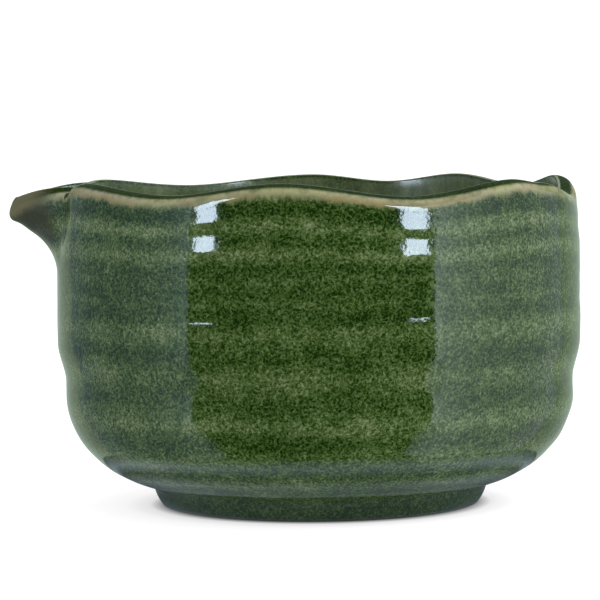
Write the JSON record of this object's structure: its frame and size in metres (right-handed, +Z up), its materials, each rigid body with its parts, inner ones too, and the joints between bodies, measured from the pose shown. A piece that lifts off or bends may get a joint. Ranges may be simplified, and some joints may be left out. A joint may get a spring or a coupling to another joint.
{
  "type": "matcha bowl",
  "caption": "Spouted matcha bowl in thrown stoneware with a lobed rim, a pinched pouring spout, a turned foot ring and a mottled green glaze.",
  "frame": {"origin": "middle of the bounding box in X and Y, on the table plane; the bowl's own turning axis stands 5.54 mm towards +X of it", "axes": "+Z up out of the bowl, +X away from the spout (the spout pours towards -X), +Y to the back of the bowl seen with the spout on the left"},
  "size_m": [0.131, 0.1198, 0.0747],
  "materials": {
    "stoneware": "matt, unglazed",
    "green_glaze": "glossy, mottled"
  },
  "bodies": {
    "root": {"clay_bowl": "stoneware", "clay_spout": "stoneware", "clay_foot_ring": "stoneware", "glaze_coat": "green_glaze", "recess_glaze": "green_glaze"}
  },
  "joints": []
}
